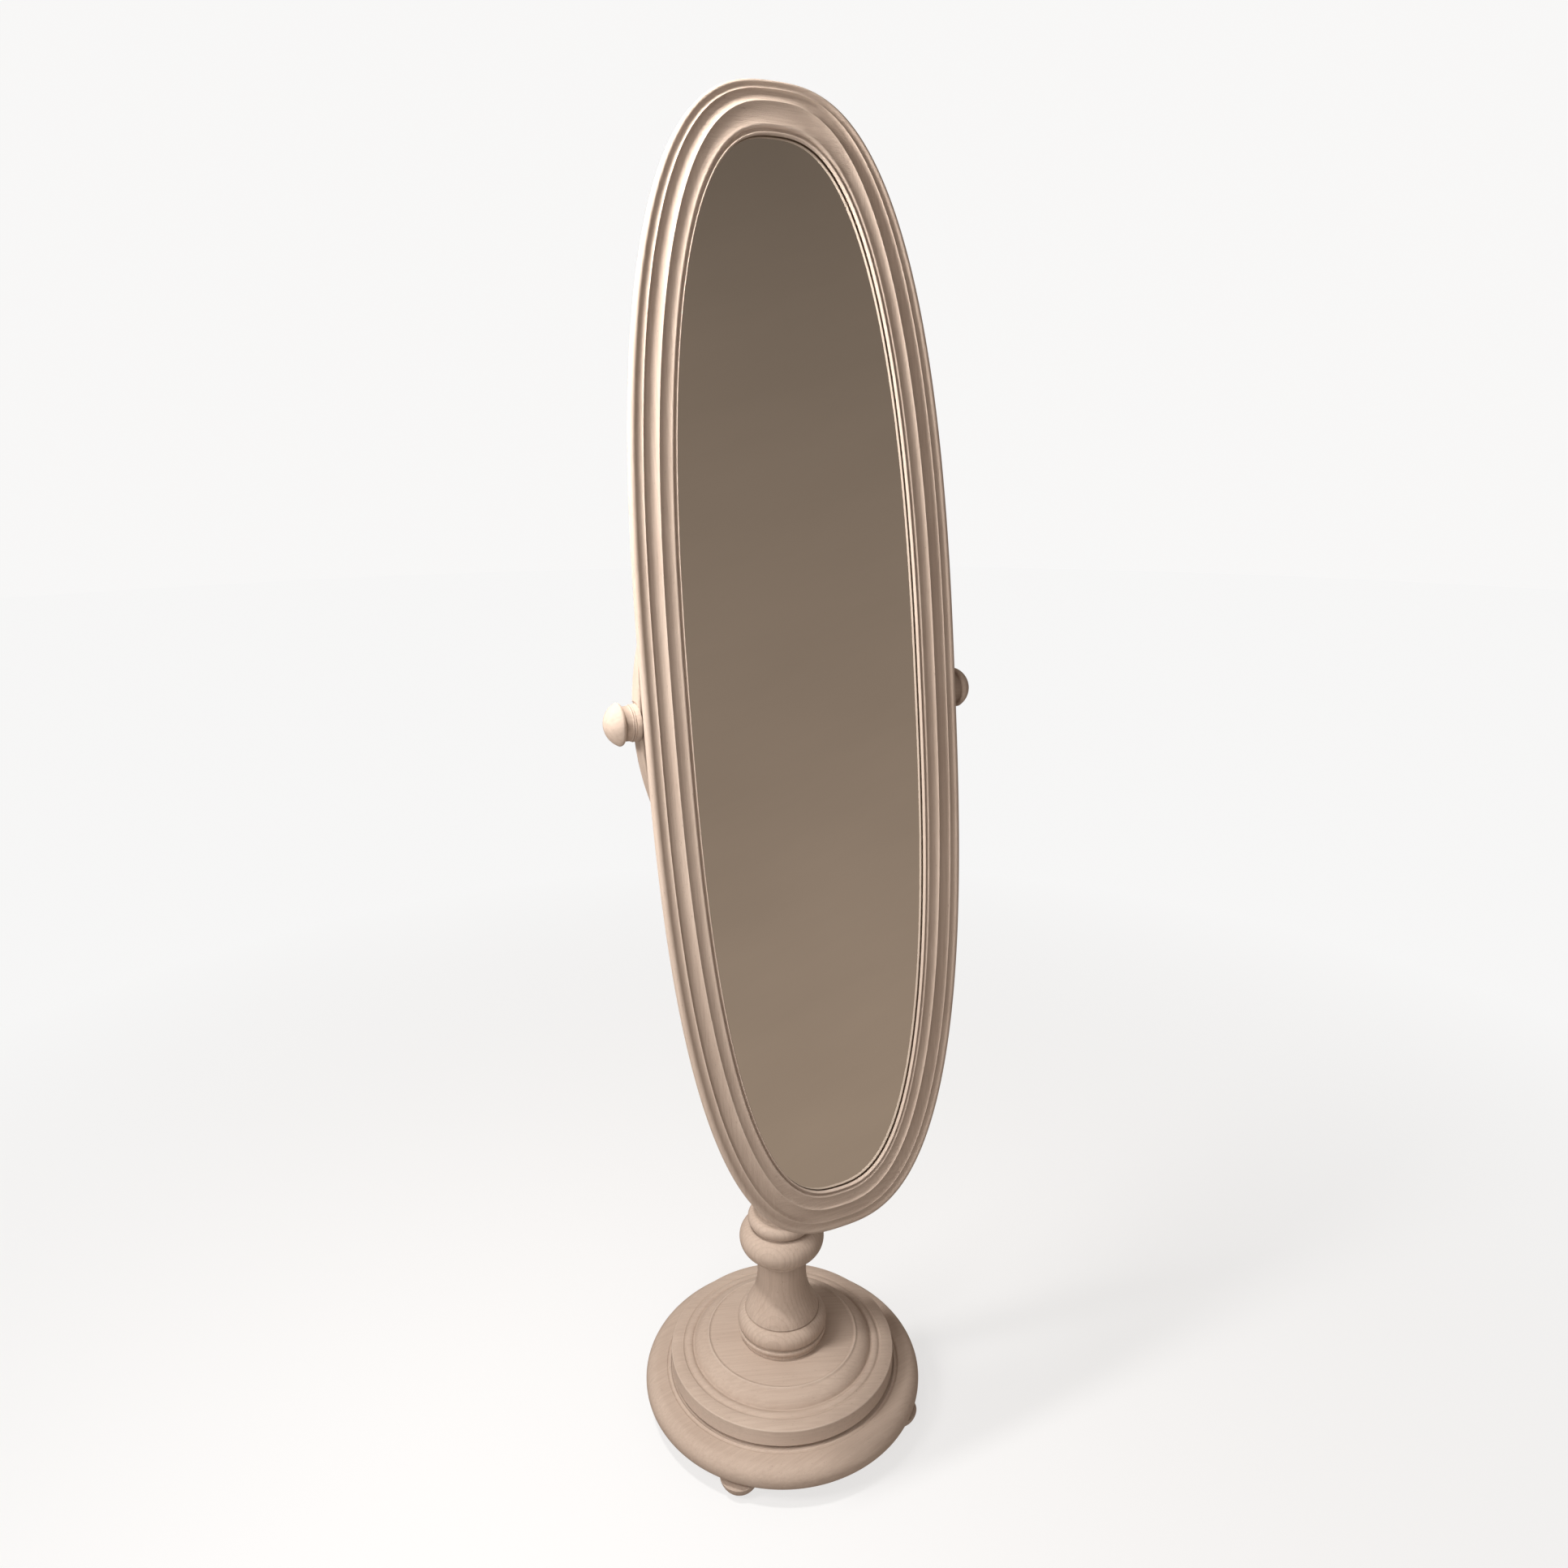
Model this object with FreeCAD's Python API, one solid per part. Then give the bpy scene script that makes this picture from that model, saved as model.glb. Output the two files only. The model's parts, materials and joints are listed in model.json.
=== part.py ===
import FreeCAD, Part
import math
import os

# Cheval floor mirror: an oval mirror in a moulded wooden frame, tilting between the arms of a yoke
# that stands on a turned column and a stepped round base with four ball feet.
# Millimetres. +Z is up, the glass faces -Y, and the origin is on the floor under the column's axis.

V = FreeCAD.Vector

# ---- Base -------------------------------------------------------------------------------------
PAD_H = 2.0             # felt pad under each foot
PAD_R = 14.0
FOOT_R = 27.0           # ball foot, cut flat at both ends
FOOT_CENTRE_Z = 24.0
FOOT_CIRCLE_R = 175.5   # the feet stand on this circle, on the diagonals
DISC_LOW_Z = 21.3       # underside of the lower disc
DISC_LOW_TOP = 58.7
DISC_LOW_R = 200.0
DISC_EDGE_R = 18.0      # rounding of the lower disc's rim
SPACER_R = 152.0        # hidden disc that leaves a shadow gap under the upper disc
SPACER_TOP = 63.7
DISC_UP_R = 161.6
DISC_UP_EDGE_TOP = 88.7
DISC_UP_TOP = 108.0
BASE_SCREW_R = 2.5
BASE_SCREW_CIRCLE_R = 118.0
BASE_SCREW_COUNT = 6
FOOT_SCREW_R = 2.25

# ---- Column and yoke hub ----------------------------------------------------------------------
COLUMN_TOP = 296.9
HUB_TOP = 366.0
ROD_R = 5.0
ROD_BORE_R = 5.5
ROD_TOP = 312.0
NUT_FLATS = 17.0
NUT_H = 8.0
WASHER_R = 15.0
WASHER_H = 2.5
ROD_POCKET_R = 19.0
ROD_POCKET_H = 14.0

# ---- Tilt axis --------------------------------------------------------------------------------
PIVOT_Y = -51.0
PIVOT_Z = 1051.5
TILT_DEG = 7.9          # the mirror's top leans back by this much at rest

# ---- Yoke -------------------------------------------------------------------------------------
YOKE_FOOT_Z = 345.0     # the yoke leans forward about an X axis through this height
ARM_T = 25.0            # thickness, front to back
ARM_W = 30.0            # width of the curved part
ARM_OUT_R = 350.0       # outer edge beside the mirror
ARM_REACH = 200.3       # outer edge at its widest
ARM_WIDEST = 15.0       # that point's height above the tilt axis
ARM_TURN_DEG = 35.0     # slope where the upper curve meets the lower one
ARM_TIP = 81.7          # height of the rounded tip's centre above the tilt axis
STEM_HALF = 40.0        # half width of the stem where the two arms are joined
TENON_HALF = 22.0
TENON_T = 18.0
TENON_LEN = 34.0
TAPER_START = 40.0      # above this height the arm's front is cut back to let the mirror lean
TAPER_END = 100.0
TAPER_DEPTH = 19.5
ARM_ROUND = 3.0

# ---- Pivot ------------------------------------------------------------------------------------
STUD_R = 4.0
RUNNING = 0.05          # radial clearance of the stud in what it turns in
GAP = 0.3               # clearance between faces that turn against each other
BUSH_R = 7.0
BUSH_FLANGE_R = 11.0
COUNTERBORE_R = 12.5
BUSH_IN = 169.5
BUSH_FLANGE_OUT = 171.5
COLLAR_IN = 198.6
COLLAR_OUT = 206.5
KNOB_TIP = 236.2
KNOB_R = 24.0
KNOB_EDGE = 221.0       # where the knob is widest, and its round end begins
KNOB_INSERT_R = 6.0
KNOB_INSERT_LEN = 16.0
STUD_IN = 146.0
BLOCK_IN = 139.0
BLOCK_OUT = 166.0
BLOCK_HALF_H = 30.0
BLOCK_BACK = 15.0       # how far the block reaches behind the tilt axis
WASHER_IN = 166.0
INSERT_R = 6.5
INSERT_LEN = 18.0

# ---- Mirror -----------------------------------------------------------------------------------
# Positions in the mirror: x to the right, z along the glass, y backwards, origin on the tilt axis.
LIP_Y = -36.2           # plane of the inner lip's front
OVAL_UP = 4.1           # centre of the oval above the tilt axis
LIP_HALF_W = 146.6      # inner edge of the lip
LIP_HALF_H = 606.2
ARC_ENDS_DEG = [2.2, 11.1, 28.3]   # slopes where the outline passes from one arc to the next
ARC_MID_R = [1557.4, 415.0]        # radii of the second and third arcs
RAIL_HALF = 87.0        # top and bottom rails end in straight joints at this x
GLASS_OVER = 3.6        # how far the glass runs under the lip
GLASS_FRONT = 5.0       # depth of the glass behind the lip's front
GLASS_T = 3.0
BOARD_T = 4.0
REBATE_W = 5.6
BODY_BACK = 21.9        # depth of the thick inner part of the frame
BODY_W = 16.6
FLANGE_BACK = 11.9      # depth of the thin outer part
FRAME_W = 53.2
CREST_W = 21.7
CREST_H = 0.8
DOWEL_R = 4.0           # dowels and peg of the yoke
FRAME_DOWEL_R = 2.5
FRAME_DOWEL_LEN = 30.0
FRAME_DOWEL_UP = 585.0  # height of the frame's dowels above the middle of the oval
FRAME_DOWEL_DEPTH = 7.6            # of their axis behind the lip's front, midway in the rim
POINT_SIZE = (9.0, 1.2, 14.0)      # framer's point: width, thickness, length
POINT_SLOPES_DEG = [1.0, 6.6, 20.0, 90.0]


# ---- Helpers ----------------------------------------------------------------------------------

def save(name, shape):
    """Write one node, and say its volume."""
    shape.exportStep("parts/" + name + ".step")
    print(name, len(shape.Solids), round(shape.Volume / 1000.0, 2), "cm3", shape.isValid())


def path(start, *steps):
    """Closed wire in 2D: each step is a point, or (middle, end) for an arc."""
    edges = []
    here = start
    for step in steps:
        if isinstance(step[0], tuple):
            edges.append(Part.Arc(plane(here), plane(step[0]), plane(step[1])).toShape())
            here = step[1]
        else:
            edges.append(Part.makeLine(plane(here), plane(step)))
            here = step
    if here != start:
        edges.append(Part.makeLine(plane(here), plane(start)))
    return Part.Face(Part.Wire(edges))


def plane(point):
    return V(point[0], 0, point[1])


def turned(start, *steps):
    """Solid turned about the Z axis from an outline of (radius, height)."""
    return path(start, *steps).revolve(V(0, 0, 0), V(0, 0, 1), 360)


def rod(radius, low, high, x=0.0, y=0.0):
    return Part.makeCylinder(radius, high - low, V(x, y, low))


def along_x(radius, low, high):
    """Cylinder on the tilt axis, on the right side, in an assembly placed at the axis."""
    return Part.makeCylinder(radius, high - low, V(low, 0, 0), V(1, 0, 0))


def block(x0, x1, y0, y1, z0, z1):
    return Part.makeBox(x1 - x0, y1 - y0, z1 - z0, V(x0, y0, z0))


def mirrored(shape):
    return shape.mirror(V(0, 0, 0), V(1, 0, 0))


def sides(shape):
    """The same piece for both sides: the drawn one is the right."""
    return {"right": shape, "left": mirrored(shape)}


def turned_on_x(start, *steps):
    """Solid turned about the X axis from an outline of (radius, x)."""
    solid = turned(start, *steps)
    solid.rotate(V(0, 0, 0), V(0, 1, 0), 90)
    return solid


def wood_screw(radius, length, x, y, z):
    """Countersunk screw pointing up, with its head's face at z."""
    head = Part.makeCone(2 * radius, radius, 1.3 * radius, V(x, y, z))
    shank = rod(radius, z + radius, z + length - 2 * radius, x, y)
    tip = Part.makeCone(radius, 0.2 * radius, 2 * radius, V(x, y, z + length - 2 * radius))
    return head.fuse([shank, tip]).removeSplitter()


def to_pivot(shape):
    shape.translate(V(0, PIVOT_Y, PIVOT_Z))
    return shape


def to_mirror(shape):
    """Place a piece drawn in the mirror's own axes."""
    shape.rotate(V(0, 0, 0), V(1, 0, 0), -TILT_DEG)
    return to_pivot(shape)


def to_yoke(shape):
    """Place a piece drawn in the yoke's own axes, whose origin is on the tilt axis."""
    lean = math.degrees(math.atan2(-PIVOT_Y, PIVOT_Z - YOKE_FOOT_Z))
    shape.rotate(V(0, 0, 0), V(1, 0, 0), lean)
    return to_pivot(shape)


# ---- Base -------------------------------------------------------------------------------------

def foot_places():
    reach = FOOT_CIRCLE_R / math.sqrt(2)
    for depth, y in (("front", -reach), ("back", reach)):
        for side, x in (("left", -reach), ("right", reach)):
            yield depth + "_" + side, x, y


def base():
    flat_r = math.sqrt(FOOT_R**2 - (FOOT_CENTRE_Z - PAD_H)**2)
    top_r = math.sqrt(FOOT_R**2 - (FOOT_CENTRE_Z - DISC_LOW_Z)**2)
    bulge = math.radians(-35)
    middle = (FOOT_R * math.cos(bulge), FOOT_CENTRE_Z + FOOT_R * math.sin(bulge))
    screws = []
    for name, x, y in foot_places():
        screw = wood_screw(FOOT_SCREW_R, 40, x, y, PAD_H + 2.5)
        recess = rod(2 * FOOT_SCREW_R, PAD_H, PAD_H + 2.5, x, y)
        foot = turned((0, PAD_H), (flat_r, PAD_H), (middle, (top_r, DISC_LOW_Z)), (0, DISC_LOW_Z))
        foot.translate(V(x, y, 0))
        save("foot_" + name, foot.cut([screw, recess]))
        save("felt_pad_" + name, rod(PAD_R, 0, PAD_H, x, y))
        screws.append(screw)
    save("foot_screws", Part.makeCompound(screws))

    joiners = []
    for i in range(BASE_SCREW_COUNT):
        angle = 2 * math.pi * i / BASE_SCREW_COUNT
        x = BASE_SCREW_CIRCLE_R * math.cos(angle)
        y = BASE_SCREW_CIRCLE_R * math.sin(angle)
        joiners.append(wood_screw(BASE_SCREW_R, 60, x, y, DISC_LOW_Z))
    save("base_screws", Part.makeCompound(joiners))

    lower = lower_disc().cut(screws + joiners + [
        rod(ROD_BORE_R, DISC_LOW_Z, DISC_LOW_TOP),
        rod(ROD_POCKET_R, DISC_LOW_Z, DISC_LOW_Z + ROD_POCKET_H)])
    save("base_disc_lower", lower)
    spacer = rod(SPACER_R, DISC_LOW_TOP, SPACER_TOP)
    save("base_spacer_disc", spacer.cut(joiners + [rod(ROD_BORE_R, DISC_LOW_TOP, SPACER_TOP)]))
    upper = upper_disc().cut(joiners + [rod(ROD_BORE_R, SPACER_TOP, DISC_UP_TOP)])
    save("base_disc_upper", upper)


def lower_disc():
    """Disc with a nearly full round rim, and a fillet with a groove just outside the gap."""
    r = DISC_EDGE_R
    rim = DISC_LOW_R - r
    low = DISC_LOW_Z
    top = DISC_LOW_TOP
    tip = r * math.sin(math.pi / 4)
    fillet = DISC_UP_R + 4.0
    return turned(
        (0, low), (rim, low), ((rim + tip, low + r - tip), (DISC_LOW_R, low + r)), (DISC_LOW_R, top - r),
        ((rim + tip, top - r + tip), (rim, top)), (fillet + 4.0, top),
        ((fillet + 2.5, top - 0.7), (fillet + 1.0, top)), ((fillet - 1.0, top + 0.9), (fillet - 3.0, top)),
        (0, top))


def upper_disc():
    """Vertical edge, sloping band, flat ring between two grooves, and a cove up to the flat middle."""
    low = SPACER_TOP
    edge = DISC_UP_EDGE_TOP
    top = DISC_UP_TOP
    return turned(
        (0, low), (DISC_UP_R, low), (DISC_UP_R, edge - 2.0),
        ((DISC_UP_R - 0.6, edge - 0.6), (DISC_UP_R - 2.0, edge)),
        ((152.0, 90.2), (143.6, 90.6)), ((142.3, 89.4), (141.0, 90.6)), (131.0, 91.0),
        ((129.4, 89.6), (127.4, 90.6)), ((119.5, 97.6), (113.0, 102.6)), ((110.6, 104.4), (109.2, 106.4)),
        ((108.0, 108.6), (106.6, 107.4)), (104.0, 107.2), (70.0, top), (0, top))


# ---- Column -----------------------------------------------------------------------------------

def column():
    low = DISC_UP_TOP
    body = turned(
        (0, low), (60.0, low), (60.0, 114.0), (61.6, 114.6), ((63.6, 118.0), (62.6, 122.4)),
        ((60.6, 123.4), (60.4, 124.6)), ((63.0, 127.6), (63.9, 132.0)), ((60.9, 143.6), (53.6, 149.6)),
        ((52.0, 150.0), (52.7, 151.8)), ((50.6, 159.0), (46.5, 167.0)), ((37.6, 190.6), (34.8, 215.0)),
        (34.3, 236.6), ((35.5, 238.6), (34.4, 240.8)), (34.1, 245.0), ((35.0, 246.2), (37.4, 246.6)),
        ((53.6, 256.0), (59.8, 271.7)), ((56.4, 284.6), (47.2, 292.6)), (42.0, 293.2), (42.0, COLUMN_TOP),
        (0, COLUMN_TOP))
    save("column", body.cut(rod(ROD_BORE_R, low, COLUMN_TOP)))

    nut = Part.Face(Part.makePolygon(
        [V(NUT_FLATS / math.sqrt(3) * math.cos(math.radians(60 * i)),
           NUT_FLATS / math.sqrt(3) * math.sin(math.radians(60 * i)), 0) for i in range(7)]))
    nut = nut.extrude(V(0, 0, NUT_H))
    nut_z = DISC_LOW_Z + ROD_POCKET_H - WASHER_H - NUT_H
    nut.translate(V(0, 0, nut_z))
    save("tie_rod_nut", nut.cut(rod(ROD_R, nut_z, nut_z + NUT_H)))
    washer = rod(WASHER_R, nut_z + NUT_H, DISC_LOW_Z + ROD_POCKET_H)
    save("tie_rod_washer", washer.cut(rod(ROD_BORE_R, nut_z + NUT_H, DISC_LOW_Z + ROD_POCKET_H)))
    save("tie_rod", rod(ROD_R, nut_z - 1.0, ROD_TOP))


def hub(tenon, peg):
    """Bead, narrow neck and a spreading cap that carries the yoke."""
    low = COLUMN_TOP
    body = turned(
        (0, low), (44.6, low), ((47.6, 305.0), (43.0, 313.4)), (38.0, 314.4), (36.0, 316.4), (36.0, 330.0),
        ((38.6, 342.0), (46.0, 348.0)), (48.0, 349.6), ((50.0, 356.0), (48.0, 362.4)), (43.0, HUB_TOP),
        (0, HUB_TOP))
    save("yoke_hub", body.cut([rod(ROD_R, low, ROD_TOP), tenon, peg]))


# ---- Yoke -------------------------------------------------------------------------------------

def arm_outline():
    """Right arm, seen from the front, as a face with the tilt axis at height 0."""
    turn = math.radians(ARM_TURN_DEG)
    inner_r = ARM_OUT_R - ARM_W
    cx = ARM_REACH - ARM_OUT_R
    cz = ARM_WIDEST
    meet_x = cx + ARM_OUT_R * math.cos(turn)
    low_r = (meet_x - STEM_HALF) / (1 - math.cos(turn))
    dx = cx + (ARM_OUT_R + low_r) * math.cos(turn)
    dz = cz - (ARM_OUT_R + low_r) * math.sin(turn)
    crotch = dx - low_r - ARM_W
    foot = -math.hypot(PIVOT_Y, PIVOT_Z - YOKE_FOOT_Z)

    def upper(radius, angle):
        return (cx + radius * math.cos(angle), cz + radius * math.sin(angle))

    def lower(radius, angle):
        return (dx - radius * math.cos(angle), dz + radius * math.sin(angle))

    tip_angle = math.asin((ARM_TIP - cz) / (ARM_OUT_R - ARM_W / 2))
    tip_out = upper(ARM_OUT_R, tip_angle)
    tip_in = upper(inner_r, tip_angle)
    tip = (
        (tip_out[0] + tip_in[0]) / 2 - ARM_W / 2 * math.sin(tip_angle),
        (tip_out[1] + tip_in[1]) / 2 + ARM_W / 2 * math.cos(tip_angle))
    fork = crotch * math.cos(math.pi / 4)
    return path(
        (0, foot), (STEM_HALF, foot), lower(low_r, 0),
        (lower(low_r, turn / 2), lower(low_r, turn)),
        (upper(ARM_OUT_R, (tip_angle - turn) / 2), tip_out),
        (tip, tip_in),
        (upper(inner_r, (tip_angle - turn) / 2), upper(inner_r, -turn)),
        (lower(low_r + ARM_W, turn / 2), lower(low_r + ARM_W, 0)),
        ((fork, dz - fork), (0, dz - crotch)))


def yoke():
    half = ARM_T / 2
    arm = arm_outline().extrude(V(0, ARM_T, 0))
    arm.translate(V(0, -half, 0))
    long_edges = [e for e in arm.Edges
                  if abs(abs(e.CenterOfMass.y) - half) < 0.01 and e.CenterOfMass.x > 1.0
                  and e.CenterOfMass.z > YOKE_FOOT_Z - PIVOT_Z]
    arm = arm.makeFillet(ARM_ROUND, long_edges)
    wedge = Part.Face(Part.makePolygon([
        V(0, -half - 1.0, TAPER_START - 3.0), V(0, -half + TAPER_DEPTH, TAPER_END),
        V(0, -half - 1.0, TAPER_END), V(0, -half - 1.0, TAPER_START - 3.0)]))
    wedge = wedge.extrude(V(ARM_REACH + 10, 0, 0))
    arm = arm.cut([
        wedge,
        along_x(KNOB_R, COLLAR_IN, ARM_REACH + 10),
        along_x(COUNTERBORE_R, 150, BUSH_FLANGE_OUT),
        along_x(BUSH_R, BUSH_FLANGE_OUT, COLLAR_IN)])
    arm = to_yoke(arm).cut(block(-1, ARM_REACH, -300, 300, 0, HUB_TOP))

    tenon_low = HUB_TOP - TENON_LEN
    tenon = block(0, TENON_HALF, -TENON_T / 2, TENON_T / 2, tenon_low, HUB_TOP + 8)
    peg = Part.makeCylinder(DOWEL_R, 96, V(0, -48, HUB_TOP - 20), V(0, 1, 0))
    arm = arm.fuse(tenon).removeSplitter()

    dowels = []
    for height in (-620, -570, -530):
        dowels.append(to_yoke(Part.makeCylinder(DOWEL_R, 44, V(-22, 0, height), V(1, 0, 0))))
    save("yoke_dowels", Part.makeCompound(dowels))
    arm = arm.cut(dowels + [peg])
    for side, solid in sides(arm).items():
        save("yoke_arm_" + side, solid)
    socket = tenon.fuse(mirrored(tenon)).removeSplitter()
    peg = peg.common(rod(47.5, HUB_TOP - 30, HUB_TOP))
    save("yoke_tenon_peg", peg)
    return socket, peg


# ---- Pivot ------------------------------------------------------------------------------------

def pivot():
    bore = along_x(STUD_R + RUNNING, 140, KNOB_TIP)
    bush = along_x(BUSH_FLANGE_R, BUSH_IN, BUSH_FLANGE_OUT)
    bush = bush.fuse(along_x(BUSH_R, BUSH_FLANGE_OUT, COLLAR_IN)).cut(bore).removeSplitter()
    collar = turned_on_x(
        (0, COLLAR_IN), (21.2, COLLAR_IN), ((20.9, 202.2), (20.2, 204.6)),
        ((20.9, 205.5), (20.0, COLLAR_OUT)),
        (0, COLLAR_OUT)).cut(bore)

    face = COLLAR_OUT + GAP
    dome_centre = (KNOB_TIP**2 - KNOB_EDGE**2 - KNOB_R**2) / (2 * (KNOB_TIP - KNOB_EDGE))
    dome_r = KNOB_TIP - dome_centre
    dome_angle = math.acos(KNOB_R / dome_r) / 2 + math.pi / 4
    dome_mid = (dome_r * math.cos(dome_angle), dome_centre + dome_r * math.sin(dome_angle))
    insert = along_x(KNOB_INSERT_R, face, face + KNOB_INSERT_LEN)
    knob = turned_on_x(
        (0, face), (19.4, face), ((20.0, 207.6), (19.5, 208.6)), (19.3, 215.6),
        ((20.0, 216.6), (21.6, 216.9)),
        ((23.5, 218.4), (KNOB_R, KNOB_EDGE)), (dome_mid, (0, KNOB_TIP)))
    stud = along_x(STUD_R, STUD_IN, face + KNOB_INSERT_LEN - 1)

    washer = along_x(BUSH_FLANGE_R, WASHER_IN, BUSH_IN - GAP).cut(bore)
    for name, shape in (("arm_bush", bush), ("knob_collar", collar), ("knob", knob.cut(insert)),
                        ("knob_insert", insert.cut(stud)), ("pivot_stud", stud)):
        for side, solid in sides(to_pivot(shape)).items():
            save(name + "_" + side, solid)
    for side, solid in sides(to_mirror(washer)).items():
        save("friction_washer_" + side, solid)


def pivot_blocks(frame):
    """Blocks behind the frame that take the studs. Returns the screws that hold them."""
    body_back = LIP_Y + BODY_BACK
    insert = along_x(INSERT_R, BLOCK_OUT - INSERT_LEN - 3, BLOCK_OUT - 3)
    bore = along_x(STUD_R + RUNNING, STUD_IN - 4, BLOCK_OUT)
    solid = block(BLOCK_IN, BLOCK_OUT, body_back, BLOCK_BACK, -BLOCK_HALF_H, BLOCK_HALF_H)
    corners = [e for e in solid.Edges if abs(e.CenterOfMass.y - BLOCK_BACK) < 0.01]
    solid = solid.makeChamfer(3.0, corners)
    screws = []
    for z in (-20, 20):
        screw = wood_screw(2.0, 38, 0, 0, 0)
        screw.rotate(V(0, 0, 0), V(1, 0, 0), 90)
        screw.translate(V((BLOCK_IN + BLOCK_OUT) / 2 + 3, BLOCK_BACK, z))
        screws.append(screw)
    solid = solid.cut([insert, bore] + screws)
    for side, piece in sides(to_mirror(solid)).items():
        save("pivot_block_" + side, piece)
    for side, piece in sides(to_mirror(insert.cut(bore))).items():
        save("pivot_insert_" + side, piece)
    screws = screws + [mirrored(s) for s in screws]
    cut_frame = frame.cut(screws)
    save("pivot_block_screws", to_mirror(Part.makeCompound(screws)))
    return cut_frame


# ---- Mirror -----------------------------------------------------------------------------------

def oval_arcs():
    """Arcs of the lip's outline, counter-clockwise: (centre x, centre z, radius, from, to)."""
    ends = [0.0] + [math.radians(d) for d in ARC_ENDS_DEG] + [math.pi / 2]
    across = [math.cos(a) - math.cos(b) for a, b in zip(ends, ends[1:])]
    up = [math.sin(b) - math.sin(a) for a, b in zip(ends, ends[1:])]
    width = LIP_HALF_W - sum(r * c for r, c in zip(ARC_MID_R, across[1:3]))
    height = LIP_HALF_H - sum(r * u for r, u in zip(ARC_MID_R, up[1:3]))
    scale = across[0] * up[3] - across[3] * up[0]
    first = (width * up[3] - across[3] * height) / scale
    last = (across[0] * height - up[0] * width) / scale
    radii = [first] + ARC_MID_R + [last]
    x = LIP_HALF_W - first
    z = 0.0
    quadrant = [(x, z, first, -ends[1], ends[1])]
    for i in (1, 2, 3):
        x += (radii[i - 1] - radii[i]) * math.cos(ends[i])
        z += (radii[i - 1] - radii[i]) * math.sin(ends[i])
        stop = ends[i + 1] if i < 3 else math.pi - ends[3]
        quadrant.append((x, z, radii[i], ends[i], stop))
    side, upper, end, cap = quadrant
    arcs = [side, upper, end, cap]
    for x, z, r, a, b in (end, upper, side):
        arcs.append((-x, z, r, math.pi - b, math.pi - a))
    for x, z, r, a, b in (upper, end, cap, end, upper):
        left = len(arcs) < 9
        start = math.pi + a if left else 2 * math.pi - b
        arcs.append((-x if left else x, -z, r, start, start + b - a))
    return arcs


def swept(face_of):
    """Sweep a section round the oval. face_of(offset) draws it at a given distance from the centre."""
    pieces = []
    for x, z, radius, start, stop in oval_arcs():
        section = face_of(radius)
        section.rotate(V(0, 0, 0), V(0, -1, 0), math.degrees(start))
        section.translate(V(x, 0, z + OVAL_UP))
        pieces.append(section.revolve(V(x, 0, z + OVAL_UP), V(0, -1, 0), math.degrees(stop - start)))
    return pieces[0].fuse(pieces[1:]).removeSplitter()


def oval_plate(offset, front, thickness):
    """Flat oval plate whose edge is offset outside the lip, front being its depth behind the lip."""
    edges = []
    for x, z, radius, start, stop in oval_arcs():
        points = []
        for angle in (start, (start + stop) / 2, stop):
            reach = radius + offset
            points.append(V(x + reach * math.cos(angle), 0, z + OVAL_UP + reach * math.sin(angle)))
        edges.append(Part.Arc(*points).toShape())
    plate = Part.Face(Part.Wire(edges)).extrude(V(0, thickness, 0))
    plate.translate(V(0, LIP_Y + front, 0))
    return plate


def moulding(radius):
    """Frame section: heights are in front of the lip's plane, widths outwards from the lip's edge."""
    def at(width, height):
        return (radius + width, height)

    face = path(
        at(0.0, -GLASS_FRONT), at(0.0, -0.9), (at(0.5, -0.2), at(1.3, 0.0)), at(2.1, -2.1), at(4.0, -2.1),
        at(4.8, -0.7), (at(6.0, 0.1), at(7.4, -0.1)), (at(11.4, -1.2), at(15.2, -1.2)),
        (at(18.6, -0.7), at(CREST_W, CREST_H)), (at(27.2, -2.3), at(34.0, -3.5)),
        (at(36.9, -2.9), at(38.7, -0.9)), (at(42.6, -2.5), at(47.0, -1.8)), (at(50.0, -1.3), at(52.2, -2.3)),
        at(FRAME_W, -3.3), at(FRAME_W, -FLANGE_BACK + 1.0), at(FRAME_W - 1.0, -FLANGE_BACK),
        at(BODY_W, -FLANGE_BACK), at(BODY_W, -BODY_BACK),
        at(REBATE_W, -BODY_BACK), at(REBATE_W, -GLASS_FRONT))
    # The section is drawn in x and z: turn its height into -y, and bring it to the lip's plane.
    face.rotate(V(0, 0, 0), V(1, 0, 0), 90)
    face.translate(V(0, LIP_Y, 0))
    return face


def frame_points():
    """Framer's points over the backing board, driven into the rebate's wall all round."""
    width, thickness, length = POINT_SIZE
    arcs = oval_arcs()
    points = []
    for slope in POINT_SLOPES_DEG:
        for base_angle, sign in ((0, 1), (0, -1), (180, 1), (180, -1)):
            angle = math.radians(base_angle + sign * slope) % (2 * math.pi)
            if slope == 90 and base_angle == 180:
                continue
            for x, z, radius, start, stop in arcs:
                inside = start <= angle <= stop or start <= angle - 2 * math.pi <= stop
                if not inside:
                    continue
                point = block(0, length, 0, thickness, -width / 2, width / 2)
                board_back = LIP_Y + GLASS_FRONT + GLASS_T + BOARD_T
                point.translate(V(radius + REBATE_W - length / 2, board_back, 0))
                point.rotate(V(0, 0, 0), V(0, -1, 0), math.degrees(angle))
                point.translate(V(x, 0, z + OVAL_UP))
                points.append(point)
    return points


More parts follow.
